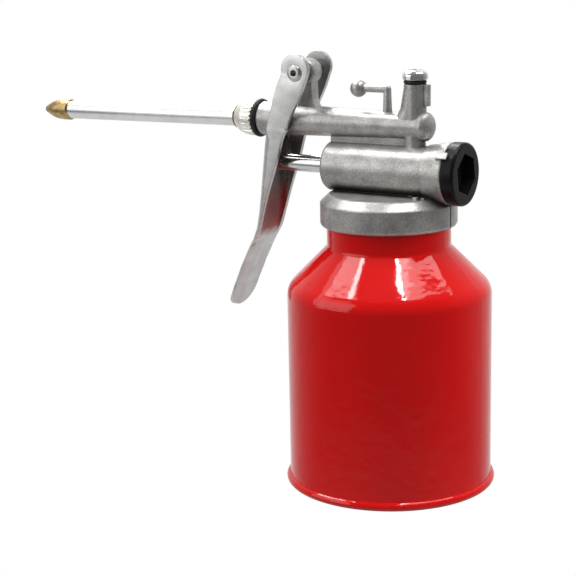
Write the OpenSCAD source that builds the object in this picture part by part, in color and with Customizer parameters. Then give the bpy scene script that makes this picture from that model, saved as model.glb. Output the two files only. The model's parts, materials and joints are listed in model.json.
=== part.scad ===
// Pump oil can with a pistol trigger: a drawn steel can, a die-cast pump head
// screwed onto its neck, and a straight spout screwed into the head.
// Millimetres. Origin: centre of the can's base. +Z up, -X towards the spout tip,
// +X towards the pump's end plug.

/* [Can] */
// Outer radius of the can's wall
can_r = 35; // [34.6:0.1:35.2]
// Height at which wall and shoulder cone would meet without rounding
shoulder_z = 69.3; // [66:0.1:69.6]
// Radius of the rounded shoulder
shoulder_round = 7; // [4:0.5:9]
// Outer radius of the neck below the collar
neck_r = 21.15; // [21.1:0.05:21.4]
// Thickness of the can's sheet
can_sheet = 0.7; // [0.5:0.1:0.9]
// Outer radius of the rolled seam at the base
bead_r = 36.3; // [36.1:0.1:36.8]

/* [Pump head] */
// Outer radius of the screw collar
collar_r = 23.3; // [23:0.1:24]
// Height of the collar's lower edge
collar_z = 90.2; // [90:0.1:90.4]
// Height of the pump barrel's axis
pump_z = 109.1; // [108.9:0.1:109.4]
// Outer radius of the barrel
barrel_r = 8.6; // [8.3:0.1:8.8]
// Radius of the barrel's bore
bore_r = 5.6; // [5.5:0.05:5.7]
// Height of the discharge tube's axis
tube_z = 124.1; // [123.8:0.1:124.4]
// Distance of the valve column behind the can's axis
column_x = 10.2; // [9.8:0.1:10.6]
// Outer radius of the valve column at its top
column_r = 3.8; // [3.6:0.1:4]

/* [Trigger] */
// Width over the trigger's two cheeks
trigger_w = 17; // [16.6:0.2:18]
// Thickness of the trigger's sheet
trigger_sheet = 1.6; // [1.4:0.1:1.6]
// Place of the trigger's pivot along the head
pivot_x = -31.3; // [-31.5:0.1:-31]
// Height of the trigger's pivot
pivot_z = 141; // [140.6:0.1:141.4]
// Radius of the pivot rivet's shank
rivet_r = 2; // [1.6:0.1:2.2]

/* [Plunger and valves] */
// Radius of the plunger rod
rod_r = 3; // [2.8:0.1:3.1]
// Radius of the two valve balls
ball_r = 2; // [1.9:0.05:2]

/* [Spout] */
// Outer radius of the spout tube
spout_r = 3.35; // [3:0.05:3.5]
// Length of the spout from the nut's face to the tip
spout_len = 88.3; // [60:0.1:120]
// Angle by which the spout tube hangs below the head's axis
spout_droop = 0.7; // [0:0.1:1.2]
// Outer radius of the spout nut over its serrations
nut_r = 6.3; // [6:0.1:6.6]

/* [Hidden] */
$fn = 96;
eps = 0.1;              // how far a cut runs past the face that it opens
run_gap = 0.06;         // radial clearance of a running fit
thread_gap = 0.08;      // radial clearance of the plain cylinders that stand for threads

// Can
seam_slot_z = 2;        // the wall's lower edge, inside the seam
thread_r = 20.7;        // neck's threaded part
neck_bore_r = 19.6;
neck_step_z = 89.9;     // where the threaded part begins
neck_top_z = 98.2;
gasket_t = 1.2;
roof_z = neck_top_z + gasket_t;

// Head, along X
barrel_front_x = -22.5;
barrel_flange_x = 15.7;
barrel_rear_x = 24.2;
flange_r = 10.4;
plug_thread_r = 7.6;
plug_thread_x = 15;
gland_x = -20.5;        // bottom of the rod seal's pocket
bore_x = -17;           // front end of the barrel's bore
gland_r = 5.05;
tube_front_x = -49.45;
tube_front_r = 5.8;
tube_waist_r = 4.35;
tube_bore_r = 1.6;
spout_thread_r = 4;
spout_thread_len = 4.5;
collar_top_z = 101.1;
collar_top_r = 20.3;

// Valve column and intake
column_top_z = 138.1;
valve_bore_r = 2.5;
discharge_seat_z = 118.6;
discharge_seat_r = 1.3;
intake_boss_r = 5.2;
intake_boss_z = 94;
intake_bore_r = 3.6;
intake_bore_top_z = 101.4;
intake_seat_z = 96.4;
intake_seat_r = 1.2;
seat_gap = 0.02;        // lets a ball rest on its seat without cutting into it
barb_r = 1.9;
barb_z = 80;
hook_x = -0.2;
hook_arm_z = 136;

// Plunger
rod_front_x = -44.35;
rod_tip_radius = 8;     // radius of the rod's domed end
rod_step_x = -9.5;
rod_thread_r = 1.9;
rod_rear_x = -3.2;
washer_x = -7.3;
washer_t = 1;
washer_r = 4.3;
piston_nut_t = 2.4;

// End plug
gasket_x = barrel_rear_x;
plug_flange_x = 24.7;
plug_face_x = 28.9;
plug_r = 10.57;
spring_cup_x = 21.5;
spring_cup_r = 4.9;
hex_af = 12.6;
hex_turn = 10;

// Return spring
spring_wire_r = 0.45;
spring_mean_r = 3.85;
spring_turns = 9;

// Spout
nut_back_x = -51.7;
nut_face_x = -60;
nut_shank_x = nut_back_x + 2.25 + spout_thread_len;
oring_wire_r = 1.1;
oring_mean_r = 5.6;
tip_len = 12.3;
tip_r = 3.9;
orifice_r = 0.6;

function arc(c, r, a0, a1, n) =
    [for (i = [0:n]) c + r * [cos(a0 + (a1 - a0) * i / n), sin(a0 + (a1 - a0) * i / n)]];

// Smooth curve through points, by Catmull-Rom pieces of n steps
function blend(a, b, c, d, t) =
    0.5 * (2 * b + (c - a) * t + (2 * a - 5 * b + 4 * c - d) * t * t
        + (3 * b - a - 3 * c + d) * t * t * t);
function smooth(p, n) = concat(
    [for (i = [0:len(p) - 2], k = [0:n - 1])
        blend(p[max(i - 1, 0)], p[i], p[i + 1], p[min(i + 2, len(p) - 1)], k / n)],
    [p[len(p) - 1]]);

// A profile of [radius, x] turned about the X axis
module turned_x(profile) {
    rotate([0, 90, 0])
        rotate_extrude()
            polygon(profile);
}

module rod_x(r, x0, x1) {
    translate([x0, 0, 0])
        rotate([0, 90, 0])
            cylinder(r = r, h = x1 - x0);
}

module rod_z(r, z0, z1) {
    translate([0, 0, z0])
        cylinder(r = r, h = z1 - z0);
}

// Coil spring along +Z from z = 0, closed as one polyhedron
module coil(mean_r, wire_r, length, turns) {
    steps = turns * 14;
    sides = 8;
    run = length - 2 * wire_r;
    points = [for (i = [0:steps], k = [0:sides - 1])
        let (a = 360 * turns * i / steps, b = 360 * k / sides, r = mean_r + wire_r * cos(b))
            [r * cos(a), r * sin(a), wire_r + run * i / steps + wire_r * sin(b)]];
    skin = [for (i = [0:steps - 1], k = [0:sides - 1])
        let (n = (k + 1) % sides)
            [i * sides + k, (i + 1) * sides + k, (i + 1) * sides + n, i * sides + n]];
    ends = [[for (k = [0:sides - 1]) k],
        [for (k = [sides - 1:-1:0]) steps * sides + k]];
    polyhedron(points = points, faces = concat(skin, ends), convexity = 10);
}

// ---------------------------------------------------------------- can

cone_sum = can_r + shoulder_z;      // radius plus height along the 45 degree cone
corner_drop = tan(22.5);

// Wall, shoulder and neck as one drawn shell, open below and at the mouth
module can_shell() {
    corner = [can_r - shoulder_round, shoulder_z - shoulder_round * corner_drop];
    foot_round = 1.5;
    foot = [neck_r + foot_round, cone_sum - neck_r + foot_round * corner_drop];
    inner_sum = cone_sum - can_sheet * sqrt(2);
    color([0.72, 0.04, 0.05])
        rotate_extrude()
            polygon(concat(
                [[can_r - can_sheet, seam_slot_z], [can_r, seam_slot_z]],
                arc(corner, shoulder_round, 0, 45, 6),
                arc(foot, foot_round, 225, 180, 4),
                [[neck_r, neck_step_z], [thread_r, neck_step_z], [thread_r, neck_top_z],
                    [neck_bore_r, neck_top_z], [neck_bore_r, inner_sum - neck_bore_r]],
                arc(corner, shoulder_round - can_sheet, 45, 0, 6)));
}

// Recessed end plate with the rolled seam that grips the wall
module can_bottom() {
    bead = 1.5;
    plate_z = 1.4;
    inner = can_r - can_sheet;
    color([0.66, 0.04, 0.05])
        rotate_extrude()
            polygon(concat(
                [[0, plate_z], [inner - 1.4, plate_z], [inner - 0.9, 0.5], [inner - 0.3, 0]],
                arc([bead_r - bead, bead], bead, -90, 70, 8),
                [[can_r, 2 * bead], [can_r, seam_slot_z], [inner, seam_slot_z],
                    [inner, 2 * bead], [inner - 0.7, 2 * bead],
                    [inner - 0.7, plate_z + can_sheet], [0, plate_z + can_sheet]]));
}

module neck_gasket() {
    color([0.1, 0.1, 0.1])
        rotate_extrude()
            translate([19, neck_top_z])
                square([1.6, gasket_t]);
}

// ---------------------------------------------------------------- pump head

module collar_solid() {
    edge = 1.2;
    rotate_extrude()
        polygon([[0, collar_z], [collar_r - edge, collar_z], [collar_r - 0.4, collar_z + 0.4],
            [collar_r, collar_z + edge], [collar_r, 98.2], [collar_r - 0.3, 98.6],
            [collar_top_r + 0.3, collar_top_z - 0.3], [collar_top_r - 0.4, collar_top_z],
            [0, collar_top_z]]);
}

module barrel_solid() {
    translate([0, 0, pump_z])
        turned_x([[0, barrel_front_x], [barrel_r - 1.2, barrel_front_x],
            [barrel_r - 0.5, barrel_front_x + 0.3], [barrel_r - 0.1, barrel_front_x + 1],
            [barrel_r + 0.05, barrel_flange_x], [barrel_r + 0.55, barrel_flange_x + 0.2],
            [flange_r, barrel_rear_x - 0.7], [flange_r - 0.1, barrel_rear_x],
            [0, barrel_rear_x]]);
}

module discharge_tube_solid() {
    dome_x = 14;
    dome_r = 4.9;
    translate([0, 0, tube_z])
        turned_x(concat(
            [[0, tube_front_x], [tube_front_r - 0.3, tube_front_x],
                [tube_front_r, tube_front_x + 0.3], [5.15, -29], [tube_waist_r, 4],
                [tube_waist_r, dome_x - 2], [dome_r - 0.15, dome_x - 0.8], [dome_r, dome_x]],
            [for (a = [18:18:90]) [dome_r * cos(a), dome_x + 3 * sin(a)]]));
}

// Round column; two leaning cylinders flare its front into the discharge tube
module column_solid() {
    ridge_z = 131;
    translate([column_x, 0, 0]) {
        rod_z(column_r - 0.3, pump_z, tube_z);
        rod_z(column_r, tube_z, column_top_z);
        // [height at which it leaves the axis, lean, length]
        for (lean = [[137, 10, 13.2], [131.6, 28.5, 9.8]])
            translate([0, 0, lean[0]])
                rotate([0, 180 + lean[1], 0])
                    cylinder(r = column_r - 0.05, h = lean[2]);
        // parting-line ridge behind the column
        translate([0, -0.9, ridge_z])
            cube([5.3, 1.8, column_top_z - 0.1 - ridge_z]);
    }
}

// Small hanging hook: a stem, an arm towards the spout and a ball
module hook_solid() {
    stem_r = 1.4;
    arm_r = 1.3;
    translate([hook_x, 0, 0]) {
        translate([0, 0, tube_z])
            cylinder(r1 = stem_r + 0.3, r2 = stem_r - 0.1, h = hook_arm_z - tube_z);
        translate([0, 0, hook_arm_z])
            sphere(r = arm_r);
        translate([0, 0, hook_arm_z])
            rod_x(arm_r, -11, 0);
        translate([-11, 0, hook_arm_z - 0.2])
            sphere(r = 2.9);
    }
}

// Cross boss for the trigger's rivet, on a thin rib that stands on the tube
module pivot_solid() {
    boss_r = 4.3;
    half = 3;
    edge = 0.5;
    rib_t = 4.4;
    translate([pivot_x, 0, pivot_z])
        rotate([90, 0, 0])
            rotate_extrude()
                polygon([[0, -half], [boss_r - edge, -half], [boss_r, edge - half],
                    [boss_r, half - edge], [boss_r - edge, half], [0, half]]);
    translate([0, rib_t / 2, 0])
        rotate([90, 0, 0])
            linear_extrude(rib_t)
                polygon([[pivot_x - 3.6, pivot_z], [pivot_x + 2.6, pivot_z],
                    [pivot_x + 3, 131.5], [pivot_x + 4.2, 128.4], [pivot_x + 4.2, tube_z],
                    [pivot_x - 6, tube_z], [pivot_x - 6, 128.4], [pivot_x - 4.4, 131.5]]);
}

// Broken-off gates of the casting die: a lip over the end plug, two crumbs on the collar
module gate_stubs() {
    lip_w = 2.4;
    translate([0, 0, pump_z])
        rotate([51, 0, 0]) {
            translate([barrel_rear_x - 2, -lip_w / 2, flange_r - 0.6])
                cube([2, lip_w, 1.6]);
            translate([barrel_rear_x - 1, -lip_w / 2, plug_r + 0.35])
                cube([3, lip_w, 0.5]);
        }
    translate([14.4, -10.3, collar_top_z - 0.5])
        cube([1.6, 1.4, 1.4]);
    translate([16.6, -8.7, collar_top_z - 0.5])
        cube([1.2, 1.1, 1.1]);
}

module head_solid() {
    collar_solid();
    barrel_solid();
    discharge_tube_solid();
    column_solid();
    hook_solid();
    pivot_solid();
    // web that ties the discharge tube to the barrel
    translate([barrel_front_x + 1, -1.5, pump_z + 6])
        cube([column_x - barrel_front_x - 1, 3, tube_z - pump_z - 6]);
    // boss for the intake valve, under the collar's roof
    translate([column_x, 0, 0])
        rod_z(intake_boss_r, intake_boss_z, collar_top_z);
    gate_stubs();
}

module head_bores() {
    // collar's threaded cavity, round the intake boss
    difference() {
        rod_z(thread_r + 0.35, collar_z - eps, roof_z);
        translate([column_x, 0, 0])
            rod_z(intake_boss_r, intake_boss_z, roof_z + eps);
    }
    translate([0, 0, pump_z]) {
        rod_x(rod_r + run_gap, barrel_front_x - eps, gland_x + eps);
        rod_x(gland_r, gland_x, bore_x + eps);
        rod_x(bore_r, bore_x, barrel_rear_x + eps);
        rod_x(plug_thread_r, plug_thread_x, barrel_rear_x + eps);
    }
    translate([0, 0, tube_z]) {
        rod_x(tube_bore_r, tube_front_x - eps, column_x);
        rod_x(spout_thread_r, tube_front_x - eps, tube_front_x + spout_thread_len + 0.4);
    }
    translate([column_x, 0, 0]) {
        rod_z(valve_bore_r, discharge_seat_z, column_top_z + eps);
        rod_z(discharge_seat_r, pump_z, discharge_seat_z + eps);
        rod_z(intake_bore_r, intake_boss_z - eps, intake_bore_top_z);
        for (side = [-1, 1])
            translate([0, 1.7 * side, 0])
                rod_z(0.8, intake_bore_top_z - eps, pump_z);
    }
    // hinge bore
    translate([pivot_x, 0, pivot_z])
        rotate([90, 0, 0])
            cylinder(r = rivet_r + run_gap, h = trigger_w, center = true);
    // air vent beside the barrel
    translate([-6, 13.5, 0])
        rod_z(0.6, roof_z - eps, collar_top_z + eps);
    // parting groove down the back of the collar
    translate([collar_r - 0.5, -0.35, collar_z - eps])
        cube([1, 0.7, 8.6]);
}

module head_casting() {
    color([0.62, 0.61, 0.6])
        difference() {
            head_solid();
            head_bores();
        }
}

module rod_seal() {
    color([0.12, 0.12, 0.12])
        translate([0, 0, pump_z])
            turned_x([[rod_r + run_gap, gland_x], [gland_r - 0.05, gland_x],
                [gland_r - 0.05, bore_x - 0.6], [rod_r + run_gap, bore_x - 0.6]]);
}

module seal_retainer() {
    color([0.75, 0.6, 0.3])
        translate([0, 0, pump_z])
            turned_x([[rod_r + 0.4, bore_x], [bore_r - 0.05, bore_x],
                [bore_r - 0.05, bore_x + 1], [rod_r + 0.4, bore_x + 1]]);
}

// Plastic plug with a hexagon socket; its hollow shank seats the return spring
module end_plug() {
    shank_r = plug_thread_r - thread_gap;
    color([0.09, 0.09, 0.1])
        translate([0, 0, pump_z])
            difference() {
                turned_x([[0, plug_thread_x + 0.5], [shank_r, plug_thread_x + 0.5],
                    [shank_r, plug_flange_x], [plug_r, plug_flange_x],
                    [plug_r, plug_face_x - 0.8], [plug_r - 0.3, plug_face_x - 0.25],
                    [plug_r - 0.8, plug_face_x], [0, plug_face_x]]);
                rod_x(spring_cup_r, plug_thread_x, spring_cup_x);
                translate([plug_flange_x - 0.1, 0, 0])
                    rotate([hex_turn, 0, 0])
                        rotate([0, 90, 0])
                            cylinder(d = hex_af / cos(30), h = 6, $fn = 6);
            }
}

module end_plug_gasket() {
    color([0.12, 0.12, 0.12])
        translate([0, 0, pump_z])
            turned_x([[plug_thread_r + 0.1, gasket_x], [flange_r - 0.2, gasket_x],
                [flange_r - 0.2, plug_flange_x], [plug_thread_r + 0.1, plug_flange_x]]);
}

module return_spring() {
    spring_x = washer_x + washer_t;
    color([0.6, 0.6, 0.62])
        translate([spring_x, 0, pump_z])
            rotate([0, 90, 0])
                coil(spring_mean_r, spring_wire_r, spring_cup_x - spring_x, spring_turns);
}

// ---------------------------------------------------------------- plunger

module plunger_rod() {
    tip = [for (i = [0:5]) let (r = rod_r * i / 5)
        [r, rod_front_x + rod_tip_radius - sqrt(rod_tip_radius * rod_tip_radius - r * r)]];
    color([0.8, 0.8, 0.8])
        translate([0, 0, pump_z])
            turned_x(concat(tip, [[rod_r, rod_step_x], [rod_thread_r, rod_step_x],
                [rod_thread_r, rod_rear_x], [0, rod_rear_x]]));
}

module piston_cup() {
    lip_r = bore_r - run_gap;
    color([0.14, 0.14, 0.14])
        translate([0, 0, pump_z])
            turned_x([[rod_thread_r, rod_step_x], [lip_r, rod_step_x], [lip_r, rod_step_x + 4],
                [lip_r - 0.7, rod_step_x + 4], [lip_r - 0.9, washer_x],
                [rod_thread_r, washer_x]]);
}

module piston_washer() {
    color([0.7, 0.7, 0.7])
        translate([0, 0, pump_z])
            turned_x([[rod_thread_r, washer_x], [washer_r, washer_x],
                [washer_r, washer_x + washer_t], [rod_thread_r, washer_x + washer_t]]);
}

module piston_nut() {
    nut_x = washer_x + washer_t;
    color([0.7, 0.7, 0.7])
        translate([0, 0, pump_z])
            difference() {
                translate([nut_x, 0, 0])
                    rotate([0, 90, 0])
                        cylinder(d = 5.5 / cos(30), h = piston_nut_t, $fn = 6);
                rod_x(rod_thread_r, nut_x - eps, nut_x + piston_nut_t + eps);
            }
}

// ---------------------------------------------------------------- trigger

trigger_top = [pivot_x - 0.1, pivot_z + 1.2];
trigger_top_r = 5.2;
web_top_z = 117.75;
paddle_z = 82;          // below this height only the bare web goes on, as the paddle
// Front face of the sheet along the middle; it leans forward above the web's top, so
// that the bends run out where the flat cheeks begin
front_path = [[-46.4, 121.5], [-45.15, web_top_z], [-45.55, 115], [-46.5, 107.4],
    [-47.55, 98.2], [-48.5, 91.5], [-49.6, 86], [-51.2, paddle_z], [-53.1, 78.7],
    [-56.8, 71.4], [-59.9, 64.2], [-63.2, 55.4]];
web_dx = 1.7;           // thickness of web and paddle, measured along X
// Edges of the cheeks, seen from the side
cheek_front = [[-36.5, 141], [-38.6, 136.2], [-40.9, 129.7], [-42.9, 122.4], [-43.2, 121]];
cheek_rear = [[-26.7, 140], [-28.7, 134.9], [-30.8, 130.7], [-33, 127], [-35.2, 122.3],
    [-37.4, 117.4], [-38.9, 112], [-41.3, 105], [-43.1, 100], [-44.7, 95], [-46.1, 90.5],
    [-47.1, 87], [-48, 84.6], [-49.5, paddle_z]];

// Bent sheet cut across: the web, two round bends and the start of the cheeks
module channel_section() {
    half = trigger_w / 2;
    depth = 24;
    bend_r = 3.4;
    inner_r = bend_r - trigger_sheet;
    polygon(concat(
        [[depth, half]],
        arc([bend_r, half - bend_r], bend_r, 90, 180, 6),
        arc([bend_r, bend_r - half], bend_r, 180, 270, 6),
        [[depth, -half], [depth, trigger_sheet - half]],
        arc([web_dx + inner_r, bend_r - half], inner_r, 270, 180, 6),
        arc([web_dx + inner_r, half - bend_r], inner_r, 180, 90, 6),
        [[depth, half - trigger_sheet]]));
}

// The section carried down the front path, one leaning prism for each of its steps
module channel_stack() {
    for (i = [0:len(front_path) - 2])
        let (top = front_path[i], low = front_path[i + 1], rise = top[1] - low[1])
            multmatrix([[1, 0, (top[0] - low[0]) / rise, low[0]],
                    [0, 1, 0, 0], [0, 0, 1, low[1]]])
                linear_extrude(rise)
                    channel_section();
}

// Side view of everything below the flat cheeks; only the rear edge trims the sheet
module side_trim() {
    far_x = -80;
    paddle_dx = web_dx - 0.04;
    rear = smooth(cheek_rear, 2);
    low = [for (p = front_path) if (p[1] < paddle_z - 1) p];
    polygon(concat(
        [[far_x, 50], [far_x, web_top_z], [-43.9, web_top_z], [-43.05, 121.4],
            [rear[8][0], 121.4]],
        [for (p = rear) if (p[1] < 121.4) p],
        [for (p = low) [p[0] + paddle_dx, p[1]]],
        [[low[len(low) - 1][0] + paddle_dx + 2, 50]]));
}

// Side view of one flat cheek
module cheek_outline() {
    front = smooth(cheek_front, 3);
    rear = [for (p = smooth(cheek_rear, 2)) if (p[1] > 115.5) p];
    polygon(concat(
        arc(trigger_top, trigger_top_r, -18, 193, 22),
        front,
        [[-41.3, 116]],
        [for (i = [len(rear) - 1:-1:0]) rear[i]]));
}

// Front view: straight down the channel, narrower down the paddle, round at its tip
module front_outline() {
    half = trigger_w / 2;
    tip_half = 7.7;
    tip_z = 55.8;
    side = [[half, 76], [half - 0.15, 73], [half - 0.5, 68.5], [tip_half, 64.5]];
    polygon(concat(
        [[half, 150], [-half, 150]],
        [for (p = side) [-p[0], p[1]]],
        arc([0, tip_z + tip_half], tip_half, 180, 360, 20),
        [for (i = [len(side) - 1:-1:0]) side[i]]));
}

module trigger() {
    color([0.68, 0.68, 0.66])
        difference() {
            union() {
                intersection() {
                    channel_stack();
                    translate([0, trigger_w, 0])
                        rotate([90, 0, 0])
                            linear_extrude(2 * trigger_w)
                                side_trim();
                    translate([-80, 0, 0])
                        rotate([90, 0, 90])
                            linear_extrude(60)
                                front_outline();
                }
                for (y = [trigger_w / 2, trigger_sheet - trigger_w / 2])
                    translate([0, y, 0])
                        rotate([90, 0, 0])
                            linear_extrude(trigger_sheet)
                                cheek_outline();
            }
            // the web stops at its top edge; the bends go on for a little
            translate([-50, trigger_sheet - trigger_w / 2, web_top_z])
                cube([10, trigger_w - 2 * trigger_sheet, 5]);
            translate([pivot_x, 0, pivot_z])
                rotate([90, 0, 0])
                    cylinder(r = rivet_r, h = trigger_w + 2, center = true);
        }
}

// Semi-tubular rivet: set head on one side, rolled hollow end on the other
module pivot_rivet() {
    half = trigger_w / 2;
    head_r = 2.9;
    color([0.75, 0.75, 0.75])
        translate([pivot_x, 0, pivot_z])
            rotate([90, 0, 0])
                difference() {
                    rotate_extrude()
                        polygon([[0, -half - 1], [1.6, -half - 0.9], [head_r - 0.5, -half - 0.6],
                            [head_r, -half], [rivet_r, -half], [rivet_r, half], [head_r, half],
                            [head_r - 0.3, half + 0.5], [1.8, half + 0.8], [0, half + 0.8]]);
                    rod_z(1.1, half - 4, half + 1);
                }
}

// ---------------------------------------------------------------- intake

// Brass fitting: ball seat above, hose barb below
module intake_seat() {
    shank_r = intake_bore_r - thread_gap;
    hex_z = 90.7;
    color([0.78, 0.62, 0.3])
        translate([column_x, 0, 0])
            difference() {
                union() {
                    rod_z(shank_r, intake_boss_z, intake_bore_top_z - 0.2);
                    translate([0, 0, hex_z])
                        cylinder(d = 8 / cos(30), h = intake_boss_z - hex_z, $fn = 6);
                    rod_z(barb_r, barb_z, hex_z);
                }
                rod_z(ball_r + 0.6, intake_seat_z, intake_bore_top_z);
                rod_z(intake_seat_r, barb_z - eps, intake_seat_z + eps);
            }
}

module intake_ball() {
    lift = sqrt(ball_r * ball_r - intake_seat_r * intake_seat_r);
    color([0.8, 0.8, 0.82])
        translate([column_x, 0, intake_seat_z + lift + seat_gap])
            sphere(r = ball_r);
}

module suction_tube() {
    color([0.85, 0.84, 0.78])
        translate([column_x, 0, 0])
            difference() {
                rod_z(barb_r + 0.75, 8, 90.4);
                rod_z(barb_r, 8 - eps, 90.4 + eps);
            }
}

// Slotted cup pushed onto the lower end of the suction tube
module strainer() {
    cup_r = 3.4;
    color([0.75, 0.6, 0.3])
        translate([column_x, 0, 0])
            difference() {
                rod_z(cup_r, 4.6, 12);
                rod_z(barb_r + 0.75, 8, 12 + eps);
                rod_z(2.4, 5.4, 8 + eps);
                for (a = [0:60:120])
                    rotate([0, 0, a])
                        translate([-5, -0.5, 5.6])
                            cube([10, 1, 2]);
            }
}

// ---------------------------------------------------------------- discharge valve

discharge_ball_z = discharge_seat_z
    + sqrt(ball_r * ball_r - discharge_seat_r * discharge_seat_r) + seat_gap;
valve_spring_z = discharge_ball_z + 1.5;
screw_tip_z = 130.5;
screw_head_z = 139.6;

module discharge_ball() {
    color([0.8, 0.8, 0.82])
        translate([column_x, 0, discharge_ball_z])
            sphere(r = ball_r);
}

module discharge_spring() {
    color([0.6, 0.6, 0.62])
        translate([column_x, 0, valve_spring_z])
            coil(1.5, 0.28, screw_tip_z - valve_spring_z, 6);
}

// Pan-head screw with a cross recess; it closes the column and loads the spring
module valve_screw() {
    head_r = 4.35;
    head_h = 3.2;
    color([0.88, 0.88, 0.88])
        translate([column_x, 0, 0])
            difference() {
                rotate_extrude()
                    polygon(concat(
                        [[0, screw_tip_z], [valve_bore_r - thread_gap, screw_tip_z],
                            [valve_bore_r - thread_gap, screw_head_z],
                            [head_r - 0.2, screw_head_z], [head_r, screw_head_z + 0.2]],
                        [for (a = [0:15:90]) [1.6 + (head_r - 1.6) * cos(a),
                            screw_head_z + 1.3 + (head_h - 1.3) * sin(a)]],
                        [[0, screw_head_z + head_h]]));
                for (a = [20, 110])
                    rotate([0, 0, a])
                        translate([-2.4, -0.5, screw_head_z + head_h - 1.7])
                            cube([4.8, 1, 3]);
                translate([0, 0, screw_head_z + head_h - 2.2])
                    cylinder(r1 = 0.4, r2 = 1.3, h = 2.3);
            }
}

module valve_oring() {
    wire = 0.7;
    color([0.05, 0.05, 0.05])
        translate([column_x, 0, column_top_z + wire + 0.05])
            rotate_extrude()
                translate([3.15, 0])
                    circle(r = wire, $fn = 32);
}

// ---------------------------------------------------------------- spout

module spout_oring() {
    color([0.05, 0.05, 0.05])
        translate([nut_back_x + oring_wire_r + 0.02, 0, tube_z])
            rotate([0, 90, 0])
                rotate_extrude()
                    translate([oring_mean_r, 0])
                        circle(r = oring_wire_r, $fn = 32);
}

// Serrated nut with a domed front and a threaded shank
module spout_nut() {
    teeth = 24;
    root_r = nut_r - 0.4;
    shank_r = spout_thread_r - thread_gap;
    color([0.82, 0.82, 0.78])
        translate([0, 0, tube_z])
            difference() {
                union() {
                    intersection() {
                        turned_x([[0, nut_face_x], [3.7, nut_face_x], [4.4, nut_face_x + 0.9],
                            [5.3, nut_face_x + 2.2], [5.95, nut_face_x + 4],
                            [nut_r, nut_face_x + 6], [nut_r, nut_back_x - 0.3],
                            [nut_r - 0.3, nut_back_x], [0, nut_back_x]]);
                        translate([nut_face_x, 0, 0])
                            rotate([90, 0, 90])
                                linear_extrude(nut_back_x - nut_face_x)
                                    polygon([for (i = [0:teeth - 1], s = [0:3])
                                        let (a = 360 * (i + [0, 0.35, 0.5, 0.85][s]) / teeth,
                                            r = s < 2 ? nut_r + 0.02 : root_r)
                                            [r * cos(a), r * sin(a)]]);
                    }
                    rod_x(shank_r, nut_back_x - eps, nut_shank_x);
                }
                rod_x(2, nut_face_x - eps, nut_shank_x + eps);
            }
}

// Everything beyond the nut's face shares the spout's slightly drooping axis
module along_spout() {
    translate([nut_face_x, 0, tube_z])
        rotate([0, -spout_droop, 0])
            children();
}

// Fillet of brazing metal where the tube leaves the nut
module braze_ring() {
    color([0.6, 0.48, 0.3])
        along_spout()
            turned_x([[spout_r, -0.75], [spout_r + 0.45, -0.35], [spout_r + 0.7, -0.05],
                [spout_r, -0.05]]);
}

module spout_tube() {
    color([0.85, 0.85, 0.84])
        along_spout()
            difference() {
                rod_x(spout_r, tip_len - spout_len - 0.3, -0.05);
                rod_x(spout_r - 1.1, tip_len - spout_len - 0.4, 0);
            }
}

// Turned brass tip: a short sleeve, an ogive nose and a small orifice
module spout_tip() {
    end = -spout_len;
    rim = end + tip_len;
    color([0.72, 0.56, 0.27])
        along_spout()
            difference() {
                turned_x(concat([[0, end], [0.85, end]],
                    smooth([[1.2, end + 0.35], [2.4, end + 2.7], [3.4, end + 5.4],
                        [tip_r - 0.05, end + 8.4]], 3),
                    [[tip_r, rim - 0.4], [tip_r - 0.3, rim], [0, rim]]));
                rod_x(spout_r, rim - 3, rim + eps);
                rod_x(spout_r - 1.1, end + 4, rim);
                rod_x(orifice_r, end - eps, rim);
            }
}

can_shell();
can_bottom();
neck_gasket();
head_casting();
rod_seal();
seal_retainer();
end_plug();
end_plug_gasket();
return_spring();
plunger_rod();
piston_cup();
piston_washer();
piston_nut();
trigger();
pivot_rivet();
intake_seat();
intake_ball();
suction_tube();
strainer();
discharge_ball();
discharge_spring();
valve_screw();
valve_oring();
spout_oring();
spout_nut();
braze_ring();
spout_tube();
spout_tip();
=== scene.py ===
"""Looks of a trigger pump oil can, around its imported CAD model.

Metres, +Z up, origin at the centre of the can's base."""

import json
import math

import bmesh
import bpy
from mathutils import Matrix, Vector


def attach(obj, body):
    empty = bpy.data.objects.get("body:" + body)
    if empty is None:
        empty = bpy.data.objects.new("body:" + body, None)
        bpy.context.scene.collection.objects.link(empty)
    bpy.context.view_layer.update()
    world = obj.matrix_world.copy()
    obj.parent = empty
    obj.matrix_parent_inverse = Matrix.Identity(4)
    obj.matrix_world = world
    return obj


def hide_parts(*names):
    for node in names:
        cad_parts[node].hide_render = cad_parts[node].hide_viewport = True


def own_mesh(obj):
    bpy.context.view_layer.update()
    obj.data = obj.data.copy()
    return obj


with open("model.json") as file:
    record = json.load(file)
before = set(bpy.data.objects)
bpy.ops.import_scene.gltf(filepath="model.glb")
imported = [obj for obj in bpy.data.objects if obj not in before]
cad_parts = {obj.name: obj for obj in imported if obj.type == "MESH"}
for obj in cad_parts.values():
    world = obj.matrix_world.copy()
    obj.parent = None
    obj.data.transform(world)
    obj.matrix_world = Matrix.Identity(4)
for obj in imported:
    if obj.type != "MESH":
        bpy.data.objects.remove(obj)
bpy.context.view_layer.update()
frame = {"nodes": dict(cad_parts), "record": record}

MM = 0.001
NODES = frame["nodes"]

# ---------------------------------------------------------------- camera

CAMERA_AZIMUTH = math.radians(32.15)
CAMERA_ELEVATION = math.radians(13.04)
CAMERA_ROLL = math.radians(-1.2)
CAMERA_DISTANCE = 0.5625
AIM_RIGHT = -0.0347     # where the camera aims, from the origin along its own right and up
AIM_UP = 0.0669
LENS = 99.7

SIDEWAYS = Vector((math.cos(CAMERA_AZIMUTH), math.sin(CAMERA_AZIMUTH), 0))
TOWARDS = Vector((math.sin(CAMERA_AZIMUTH), -math.cos(CAMERA_AZIMUTH), 0))


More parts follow.
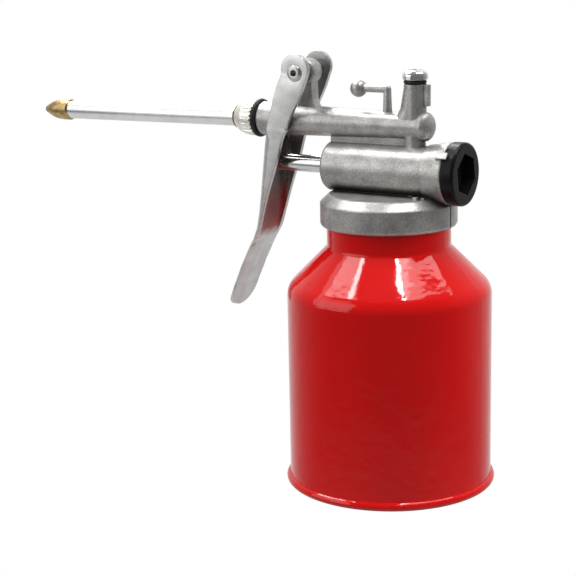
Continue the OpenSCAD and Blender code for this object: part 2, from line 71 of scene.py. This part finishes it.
def make_camera():
    back = TOWARDS * math.cos(CAMERA_ELEVATION) + Vector((0, 0, math.sin(CAMERA_ELEVATION)))
    up = back.cross(SIDEWAYS)
    aim = SIDEWAYS * AIM_RIGHT + up * AIM_UP
    c, s = math.cos(CAMERA_ROLL), math.sin(CAMERA_ROLL)
    axes = (SIDEWAYS * c + up * s, up * c - SIDEWAYS * s, back)
    camera = bpy.data.objects.new("camera", bpy.data.cameras.new("camera"))
    camera.data.lens = LENS
    camera.data.sensor_width = 36
    camera.matrix_world = (
        Matrix.Translation(aim + back * CAMERA_DISTANCE) @ Matrix(axes).transposed().to_4x4()
    )
    bpy.context.scene.collection.objects.link(camera)
    bpy.context.scene.camera = camera


# ---------------------------------------------------------------- materials

BEVEL_SAMPLES = 6
CREVICE_SAMPLES = 8
BLOTCH = 0.16           # how far noise shifts the borders of the painted reflection and shade, as a share of its height

def new_material(name, metallic=0.0, **constants):
    """A Principled material. Constants such as roughness go straight onto the shader's own sockets."""
    material = bpy.data.materials.new(name)
    material.use_nodes = True
    shader = material.node_tree.nodes["Principled BSDF"]
    shader.inputs["Metallic"].default_value = metallic
    for key, value in constants.items():
        shader.inputs[key.replace("_", " ").title().replace("Ior", "IOR")].default_value = value
    return material, material.node_tree, shader


def noise(tree, scale, detail=3.0, stretch=(1, 1, 1), distortion=0.0):
    """Noise over the object's own coordinates; scale is in waves per metre."""
    coords = tree.nodes.new("ShaderNodeTexCoord")
    mapping = tree.nodes.new("ShaderNodeMapping")
    mapping.inputs["Scale"].default_value = stretch
    texture = tree.nodes.new("ShaderNodeTexNoise")
    texture.inputs["Scale"].default_value = scale
    texture.inputs["Detail"].default_value = detail
    texture.inputs["Distortion"].default_value = distortion
    tree.links.new(coords.outputs["Object"], mapping.inputs["Vector"])
    tree.links.new(mapping.outputs["Vector"], texture.inputs["Vector"])
    return texture.outputs["Fac"]


def ramp(tree, factor, *stops):
    """A colour ramp from (position, colour) stops; a single number stands for a grey."""
    node = tree.nodes.new("ShaderNodeValToRGB")
    elements = node.color_ramp.elements
    while len(elements) < len(stops):
        elements.new(0.5)
    for element, (position, colour) in zip(elements, stops):
        rgb = (colour,) * 3 if isinstance(colour, (int, float)) else colour
        element.position = position
        element.color = (*rgb, 1)
    tree.links.new(factor, node.inputs["Fac"])
    return node.outputs["Color"]


def mixed(tree, factor, first, second, blend="MIX"):
    node = tree.nodes.new("ShaderNodeMix")
    node.data_type = "RGBA"
    node.blend_type = blend
    if isinstance(factor, (int, float)):
        node.inputs[0].default_value = factor
    else:
        tree.links.new(factor, node.inputs[0])
    tree.links.new(first, node.inputs[6])
    tree.links.new(second, node.inputs[7])
    return node.outputs[2]


def bumped(tree, shader, *layers, edge=0.0):
    """Stacks (height output, depth in metres, strength) bumps onto the shader's normal.

    edge is how far corners look rounded, in metres."""
    normal = None
    if edge:
        rounding = tree.nodes.new("ShaderNodeBevel")
        rounding.samples = BEVEL_SAMPLES
        rounding.inputs["Radius"].default_value = edge
        normal = rounding.outputs["Normal"]
    for height, depth, strength in layers:
        node = tree.nodes.new("ShaderNodeBump")
        node.inputs["Distance"].default_value = depth
        node.inputs["Strength"].default_value = strength
        tree.links.new(height, node.inputs["Height"])
        if normal is not None:
            tree.links.new(normal, node.inputs["Normal"])
        normal = node.outputs["Normal"]
    tree.links.new(normal, shader.inputs["Normal"])


def painted_crevice_shade(tree, colour, reach, tint):
    """Paints shade into a colour in crevices, darkening it where another face is near: reach is how near
    another face has to be, in metres.
    """
    crevice = tree.nodes.new("ShaderNodeAmbientOcclusion")
    crevice.samples = CREVICE_SAMPLES
    crevice.inputs["Distance"].default_value = reach
    shade = ramp(tree, crevice.outputs["AO"], (0.3, tint), (0.72, 1.0))
    return mixed(tree, 1.0, colour, shade, "MULTIPLY")


def enamel():
    """Stoved red enamel with a clear, slightly wavy surface."""
    material, tree, shader = new_material("red_enamel", ior=1.45, specular_ior_level=0.5)
    tone = ramp(tree, noise(tree, 22, 2), (0.3, (0.55, 0.005, 0.005)), (0.7, (0.62, 0.006, 0.006)))
    tree.links.new(tone, shader.inputs["Base Color"])
    rough = ramp(tree, noise(tree, 60, 3), (0.35, 0.06), (0.7, 0.09))
    tree.links.new(rough, shader.inputs["Roughness"])
    bumped(tree, shader, (noise(tree, 130, 2), 0.0005, 0.26), (noise(tree, 520, 2), 0.0001, 0.16))
    return material


def cast_alloy():
    """Tumbled die casting: grey, finely speckled, cloudy."""
    material, tree, shader = new_material("cast_alloy", metallic=0.66)
    speckle = ramp(tree, noise(tree, 1900, 4), (0.32, (0.35, 0.342, 0.328)), (0.68, (0.57, 0.561, 0.543)))
    clouds = ramp(tree, noise(tree, 200, 4), (0.35, 0.72), (0.65, 1.0))
    # painted shade: the alloy's colour darkens in crevices, where other faces are near
    colour = painted_crevice_shade(tree, mixed(tree, 1.0, speckle, clouds, "MULTIPLY"), 0.004, (0.27, 0.25, 0.23))
    tree.links.new(colour, shader.inputs["Base Color"])
    rough = ramp(tree, noise(tree, 900, 4), (0.3, 0.31), (0.7, 0.42))
    tree.links.new(rough, shader.inputs["Roughness"])
    bumped(tree, shader, (noise(tree, 420, 3), 0.0003, 0.14), (noise(tree, 2000, 3), 0.00008, 0.18),
           edge=0.0005)
    return material


def painted_light_by_height(tree, colour, *stops):
    """Paints light by height: multiplies a colour by stops of (height in metres, tint), with uneven borders
    between them.
    """
    bottom, top = stops[0][0], stops[-1][0]
    coords, split = tree.nodes.new("ShaderNodeTexCoord"), tree.nodes.new("ShaderNodeSeparateXYZ")
    tree.links.new(coords.outputs["Object"], split.inputs["Vector"])
    reach = tree.nodes.new("ShaderNodeMapRange")
    reach.inputs["From Min"].default_value = bottom
    reach.inputs["From Max"].default_value = top
    tree.links.new(split.outputs["Z"], reach.inputs["Value"])
    uneven = tree.nodes.new("ShaderNodeMath")
    uneven.operation = "MULTIPLY_ADD"
    uneven.inputs[1].default_value = BLOTCH
    tree.links.new(noise(tree, 260, 3), uneven.inputs[0])
    tree.links.new(reach.outputs["Result"], uneven.inputs[2])
    middle = BLOTCH / 2     # what the noise adds on average
    shifted = [(middle + (1 - middle) * (z - bottom) / (top - bottom), tint) for z, tint in stops]
    tints = ramp(tree, uneven.outputs["Value"], *shifted)
    return mixed(tree, 1.0, colour, tints, "MULTIPLY")


def zinc_sheet(name, tone, roughness, edge, painted_light_stops=()):
    """Plated sheet steel, mottled. A large edge radius gives the look of a wide, soft bend."""
    material, tree, shader = new_material(name, metallic=0.92)
    grain = ramp(tree, noise(tree, 3200, 3), (0.3, (0.78 * tone,) * 3), (0.7, (tone, tone, 0.97 * tone)))
    clouds = ramp(tree, noise(tree, 210, 5), (0.35, 0.84), (0.65, 1.0))
    colour = mixed(tree, 1.0, grain, clouds, "MULTIPLY")
    tree.links.new(painted_light_by_height(tree, colour, *painted_light_stops) if painted_light_stops else colour, shader.inputs["Base Color"])
    low, high = roughness
    rough = ramp(tree, noise(tree, 1400, 3), (0.3, low), (0.7, high))
    tree.links.new(rough, shader.inputs["Roughness"])
    bumped(tree, shader, (noise(tree, 700, 3), 0.0002, 0.08), (noise(tree, 2600, 3), 0.00006, 0.3),
           edge=edge)
    return material


def bright_metal(name, dark, light, roughness, grain=1500.0, stretch=(1, 1, 1), metallic=1.0):
    """A plated or polished metal with faint handling marks; its tone drifts from dark to light."""
    material, tree, shader = new_material(name, metallic=metallic)
    tone = ramp(tree, noise(tree, 260, 4), (0.35, dark), (0.65, light))
    tree.links.new(tone, shader.inputs["Base Color"])
    low, high = roughness
    rough = ramp(tree, noise(tree, grain, 3, stretch), (0.3, low), (0.7, high))
    tree.links.new(rough, shader.inputs["Roughness"])
    bumped(tree, shader, (noise(tree, grain, 2, stretch), 0.00003, 0.15))
    return material


def brass():
    """Turned brass, tarnished in patches."""
    material, tree, shader = new_material("turned_brass", metallic=1.0)
    stain = noise(tree, 420, 4, distortion=0.5)
    tone = ramp(
        tree, stain, (0.3, (0.32, 0.2, 0.075)), (0.5, (0.56, 0.39, 0.17)), (0.75, (0.72, 0.55, 0.28))
    )
    tree.links.new(tone, shader.inputs["Base Color"])
    tree.links.new(ramp(tree, stain, (0.35, 0.42), (0.7, 0.24)), shader.inputs["Roughness"])
    bumped(tree, shader, (noise(tree, 1500, 2, (6, 1, 1)), 0.00005, 0.3))
    return material


def black_plastic():
    material, tree, shader = new_material("black_plastic", ior=1.45, specular_ior_level=0.13)
    tone = ramp(tree, noise(tree, 300, 3), (0.3, (0.006, 0.006, 0.0065)), (0.7, (0.010, 0.010, 0.0105)))
    tree.links.new(tone, shader.inputs["Base Color"])
    tree.links.new(ramp(tree, noise(tree, 500, 3), (0.3, 0.2), (0.7, 0.3)), shader.inputs["Roughness"])
    bumped(tree, shader, (noise(tree, 2200, 2), 0.00004, 0.2), edge=0.0003)
    return material


def black_rubber():
    material, tree, shader = new_material("black_rubber", specular_ior_level=0.35)
    tone = ramp(tree, noise(tree, 700, 3), (0.3, (0.006, 0.006, 0.006)), (0.7, (0.016, 0.015, 0.015)))
    tree.links.new(tone, shader.inputs["Base Color"])
    tree.links.new(ramp(tree, noise(tree, 900, 3), (0.3, 0.42), (0.7, 0.6)), shader.inputs["Roughness"])
    bumped(tree, shader, (noise(tree, 2500, 2), 0.00004, 0.25))
    return material


def nylon():
    material, tree, shader = new_material("natural_nylon", subsurface_weight=0.15)
    shader.inputs["Subsurface Radius"].default_value = (0.002, 0.0018, 0.0014)
    tone = ramp(tree, noise(tree, 200, 3), (0.3, (0.66, 0.64, 0.57)), (0.7, (0.74, 0.72, 0.66)))
    tree.links.new(tone, shader.inputs["Base Color"])
    tree.links.new(ramp(tree, noise(tree, 800, 2), (0.3, 0.3), (0.7, 0.4)), shader.inputs["Roughness"])
    return material


MATERIALS = {
    "red_paint": enamel(),
    "cast_alloy": cast_alloy(),
    "trigger_steel": zinc_sheet("zinc_sheet", 0.8, (0.26, 0.4), 0.0003),
    "nickel_plate": bright_metal(
        "bright_nickel", (0.78, 0.77, 0.7), (0.9, 0.89, 0.82), (0.26, 0.38), metallic=0.7
    ),
    "plated_tube": bright_metal(
        "plated_tube", (0.78, 0.79, 0.78), (0.86, 0.87, 0.86), (0.24, 0.32),
        grain=500.0, stretch=(0.1, 1, 1),
    ),
    "screw_chrome": bright_metal(
        "screw_chrome", (0.86, 0.86, 0.86), (0.94, 0.94, 0.94), (0.06, 0.14), metallic=0.88
    ),
    "polished_steel": bright_metal(
        "polished_steel", (0.66, 0.66, 0.65), (0.76, 0.76, 0.75), (0.08, 0.18),
        grain=1600.0, stretch=(1, 6, 6),
    ),
    "spring_steel": bright_metal("spring_steel", (0.34, 0.34, 0.35), (0.5, 0.5, 0.52), (0.25, 0.4)),
    "brass": brass(),
    "black_plastic": black_plastic(),
    "black_rubber": black_rubber(),
    "natural_nylon": nylon(),
}
# inside the trigger's channel, a painted reflection of the red can low down, red-brown, and painted shade
# above, dark grey
PAINTED_REFLECTION_WEB = zinc_sheet(
    "zinc_painted_reflection_web", 0.8, (0.2, 0.32), 0.003,
    painted_light_stops=(
        (0.0815, 1.0), (0.0855, (0.5, 0.13, 0.12)), (0.096, (0.42, 0.14, 0.13)), (0.105, (0.27, 0.23, 0.21)),
    ),
)
# the cheeks' inside faces, darker than the rest of the sheet: painted shade
PAINTED_SHADE_CHEEK = zinc_sheet("zinc_painted_shade_cheek", 0.42, (0.3, 0.4), 0.0003)
RIVET = zinc_sheet("rivet_zinc", 0.66, (0.24, 0.36), 0.0004)
SLOT_OF = {row["node"]: row["material_slot"] for row in frame["record"]["subparts"]}
BODY_OF = {
    node: body for body, names in frame["record"]["behaviour"]["bodies"].items() for node in names
}

# ---------------------------------------------------------------- pieces

# the trigger's channel, in millimetres
WEB_LOW, WEB_HIGH = 80.5, 117   # heights between which its web has the painted reflection and shade
WEB_HALF = 6.8                  # half the width between its cheeks
CHEEK_HALF = 7                  # the cheeks' inside faces are nearer to the middle than this
FACING = 6                      # such a face, turned to the middle, has this much y times its normal's y


def new_piece(name, node, mesh):
    """A visible piece that takes a node's place, on the same body."""
    piece = bpy.data.objects.new(name, mesh)
    bpy.context.scene.collection.objects.link(piece)
    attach(piece, BODY_OF[node])
    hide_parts(node)
    return piece


def smooth_by_angle(mesh, degrees):
    """Smooth faces, with sharp edges kept where two faces meet at more than this angle."""
    work = bmesh.new()
    work.from_mesh(mesh)
    for face in work.faces:
        face.smooth = True
    for edge in work.edges:
        edge.smooth = len(edge.link_faces) == 2 and edge.calc_face_angle(0) < math.radians(degrees)
    work.to_mesh(mesh)
    work.free()


def bevelled_copy(name, node, width, degrees):
    """A better piece for a node of bent sheet: its own shape with rounded edges and smooth bends."""
    source = NODES[node]
    work = bmesh.new()
    work.from_mesh(source.data)
    work.transform(source.matrix_world)
    bmesh.ops.remove_doubles(work, verts=work.verts, dist=0.003 * MM)
    bmesh.ops.dissolve_limit(work, angle_limit=math.radians(0.8), verts=work.verts, edges=work.edges)
    limit = math.radians(degrees)
    sharp = [e for e in work.edges if len(e.link_faces) == 2 and e.calc_face_angle(0) > limit]
    bmesh.ops.bevel(
        work, geom=sharp, offset=width, segments=3, profile=0.5, affect="EDGES", clamp_overlap=True
    )
    bmesh.ops.triangulate(work, faces=[f for f in work.faces if len(f.verts) > 4])
    mesh = bpy.data.meshes.new(name)
    work.to_mesh(mesh)
    work.free()
    smooth_by_angle(mesh, degrees)
    mesh.materials.append(MATERIALS[SLOT_OF[node]])
    mesh.materials.append(PAINTED_REFLECTION_WEB)
    mesh.materials.append(PAINTED_SHADE_CHEEK)
    # the web's inside takes the painted reflection and shade, the cheeks' inside faces take painted shade
    for face in mesh.polygons:
        _, y, z = face.center / MM
        if face.normal.x > 0.2 and abs(y) < WEB_HALF and WEB_LOW < z < WEB_HIGH:
            face.material_index = 1
        elif face.normal.y * y < -FACING and abs(y) < CHEEK_HALF:
            face.material_index = 2
    new_piece(name, node, mesh)


RINGS_PER_TURN = 40
WIRE_SIDES = 12


def coil_spring(name, node, fixed, axis, length, mean, wire, turns):
    """A finer coil in place of a spring node, wound from its fixed end along the axis.

    mean is the coil's radius at the middle of the wire, and wire is the wire's own radius."""
    rings, sides = turns * RINGS_PER_TURN, WIRE_SIDES
    axis = Vector(axis)
    across = axis.orthogonal().normalized()
    other = axis.cross(across)
    points = []
    for i in range(rings + 1):
        angle = 2 * math.pi * turns * i / rings
        out = across * math.cos(angle) + other * math.sin(angle)
        centre = Vector(fixed) - axis * (wire + (length - 2 * wire) * i / rings)
        for k in range(sides):
            around = 2 * math.pi * k / sides
            outward, forward = mean + wire * math.cos(around), wire * math.sin(around)
            points.append(centre + out * outward + axis * forward)
    faces = [
        (i * sides + k, i * sides + (k + 1) % sides, (i + 1) * sides + (k + 1) % sides, (i + 1) * sides + k)
        for i in range(rings)
        for k in range(sides)
    ]
    faces += [tuple(range(sides))[::-1], tuple(rings * sides + k for k in range(sides))]
    mesh = bpy.data.meshes.new(name)
    mesh.from_pydata(points, [], faces)
    work = bmesh.new()
    work.from_mesh(mesh)
    bmesh.ops.recalc_face_normals(work, faces=work.faces)
    work.to_mesh(mesh)
    work.free()
    smooth_by_angle(mesh, 50)
    mesh.materials.append(MATERIALS[SLOT_OF[node]])
    piece = new_piece(name, node, mesh)
    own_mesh(piece)


def dress_node(name):
    """Gives a CAD node its material, and leaves its shape as it is."""
    node = NODES[name]
    node.data.materials.clear()
    node.data.materials.append(RIVET if name == "pivot_rivet" else MATERIALS[SLOT_OF[name]])


# ---------------------------------------------------------------- stage


LAMP_DISTANCE = 0.9
NEAR = 0.28             # distance of a card that stands close to the trigger
LAMP_CENTRE = 0.09      # height of the point that the lamps stand round

# Each lamp spans from one direction to another, both in the camera's own right, towards and up:
# name, start, end, thickness in metres, radiance, and the distance if it isn't LAMP_DISTANCE.
GLOSS_LAMPS = (     # what the metal and the paint reflect
    ("band_left", (-0.49, 0.01, 0.87), (-0.63, -0.27, 0.727), 0.10, 3.4),
    ("glow_left", (-0.46, 0.05, 0.885), (-0.69, -0.33, 0.65), 0.2, 1.3),
    ("band_right", (0.14, 0.21, 0.967), (0.36, 0.0, 0.93), 0.17, 5),
    ("glow_right", (0.14, 0.21, 0.967), (0.58, -0.28, 0.76), 0.3, 4),
    ("core_right", (0.10, 0.225, 0.968), (0.16, 0.19, 0.965), 0.16, 40),
    ("core_left", (-0.44, 0.07, 0.893), (-0.49, 0.02, 0.87), 0.16, 20),
    ("head_band", (-0.36, -0.26, 0.895), (-0.56, -0.20, 0.80), 0.14, 11),
    ("side_left", (-0.93, 0.3, 0.05), (-0.68, 0.15, 0.7), 0.8, 1.15),
    ("card_left", (-0.9, 0.38, -0.12), (-0.8, 0.36, 0.55), 0.2, 0.62, NEAR),
    ("back_top", (-0.42, -0.33, 0.845), (-0.07, -0.85, 0.52), 0.34, 9),
)
MATTE_LAMPS = (     # what lights matte surfaces
    ("fill_top", (-0.35, 0.2, 0.9), (0.45, 0.2, 0.85), 0.5, 6),
    ("fill_left", (-0.95, 0.3, 0.15), (-0.85, -0.2, 0.5), 0.5, 4),
    ("fill_right", (0.95, 0.3, 0.15), (0.85, -0.2, 0.5), 0.5, 4.5),
)


def softbox(name, start, end, thickness, radiance, distance=LAMP_DISTANCE, glossy=False):
    """A rectangular lamp, either seen in reflections only or lighting matte surfaces only."""
    a, b = (
        (SIDEWAYS * v[0] + TOWARDS * v[1] + Vector((0, 0, v[2]))).normalized() * distance
        for v in (start, end)
    )
    back = (a + b).normalized()
    along = ((b - a) - back * (b - a).dot(back)).normalized()
    lamp = bpy.data.lights.new(name, "AREA")
    lamp.shape = "RECTANGLE"
    lamp.size = (b - a).length
    lamp.size_y = thickness
    lamp.energy = radiance * math.pi * lamp.size * lamp.size_y
    ob = bpy.data.objects.new(name, lamp)
    ob.matrix_world = (
        Matrix.Translation((a + b) / 2 + Vector((0, 0, LAMP_CENTRE)))
        @ Matrix((along, back.cross(along), back)).transposed().to_4x4()
    )
    ob.visible_camera = False
    ob.visible_glossy = glossy
    ob.visible_diffuse = not glossy
    bpy.context.scene.collection.objects.link(ob)


def make_lights():
    for lamp in GLOSS_LAMPS:
        softbox(*lamp, glossy=True)
    for lamp in MATTE_LAMPS:
        softbox(*lamp)


def make_world():
    """White to the camera, even light for matte surfaces, and a white backdrop and table in reflections."""
    world = bpy.data.worlds.new("studio")
    bpy.context.scene.world = world
    world.use_nodes = True
    tree = world.node_tree
    link = tree.links.new
    shown = tree.nodes["Background"]
    shown.inputs["Color"].default_value = (1, 1, 1, 1)
    matte = tree.nodes.new("ShaderNodeBackground")
    matte.inputs["Color"].default_value = (1, 1, 1, 1)
    matte.inputs["Strength"].default_value = 0.4
    gloss = tree.nodes.new("ShaderNodeBackground")
    coords = tree.nodes.new("ShaderNodeTexCoord")

    def seen_along(direction):
        """From 0 in the opposite direction, through 0.5 sideways, to 1 in this one."""
        dot, shift = tree.nodes.new("ShaderNodeVectorMath"), tree.nodes.new("ShaderNodeMath")
        dot.operation = "DOT_PRODUCT"
        dot.inputs[1].default_value = direction * 0.5
        shift.inputs[1].default_value = 0.5
        link(coords.outputs["Generated"], dot.inputs[0])
        link(dot.outputs["Value"], shift.inputs[0])
        return shift.outputs["Value"]

    backdrop = ramp(tree, seen_along(-TOWARDS), (0.35, 0.08), (0.55, 0.2), (0.75, 0.4), (0.95, 0.85))
    table = ramp(tree, seen_along(Vector((0, 0, -1))), (0.63, 0.0), (0.74, 0.68))
    link(mixed(tree, 1.0, backdrop, table, "LIGHTEN"), gloss.inputs["Color"])
    path = tree.nodes.new("ShaderNodeLightPath")
    inner, outer = tree.nodes.new("ShaderNodeMixShader"), tree.nodes.new("ShaderNodeMixShader")
    link(path.outputs["Is Diffuse Ray"], inner.inputs["Fac"])
    link(gloss.outputs["Background"], inner.inputs[1])
    link(matte.outputs["Background"], inner.inputs[2])
    link(path.outputs["Is Camera Ray"], outer.inputs["Fac"])
    link(inner.outputs["Shader"], outer.inputs[1])
    link(shown.outputs["Background"], outer.inputs[2])
    link(outer.outputs["Shader"], tree.nodes["World Output"].inputs["Surface"])


def make_floor():
    """A light table: evenly white, and no shadow shows on it."""
    half = 4.0
    corners = [(-half, -half, 0), (half, -half, 0), (half, half, 0), (-half, half, 0)]
    mesh = bpy.data.meshes.new("floor")
    mesh.from_pydata(corners, [], [(0, 1, 2, 3)])
    floor = bpy.data.objects.new("floor", mesh)
    bpy.context.scene.collection.objects.link(floor)
    material, _, shader = new_material("white_floor", roughness=1.0)
    shader.inputs["Base Color"].default_value = (0, 0, 0, 1)
    shader.inputs["Specular IOR Level"].default_value = 0
    shader.inputs["Emission Color"].default_value = (1, 1, 1, 1)
    shader.inputs["Emission Strength"].default_value = 1.0
    mesh.materials.append(material)
    floor.visible_diffuse = False
    floor.visible_glossy = False


make_camera()
make_world()
make_lights()
make_floor()
for node_name in NODES:
    dress_node(node_name)
bevelled_copy("trigger_sheet", "trigger", width=0.35 * MM, degrees=24)
coil_spring(
    "return_coil", "return_spring",
    fixed=(21.5 * MM, 0, 109.1 * MM), axis=(1, 0, 0),
    length=27.8 * MM, mean=3.85 * MM, wire=0.45 * MM, turns=9,
)
coil_spring(
    "discharge_coil", "discharge_spring",
    fixed=(10.2 * MM, 0, 130.5 * MM), axis=(0, 0, 1),
    length=8.86 * MM, mean=1.5 * MM, wire=0.28 * MM, turns=6,
)
bpy.context.scene.view_settings.view_transform = "Standard"
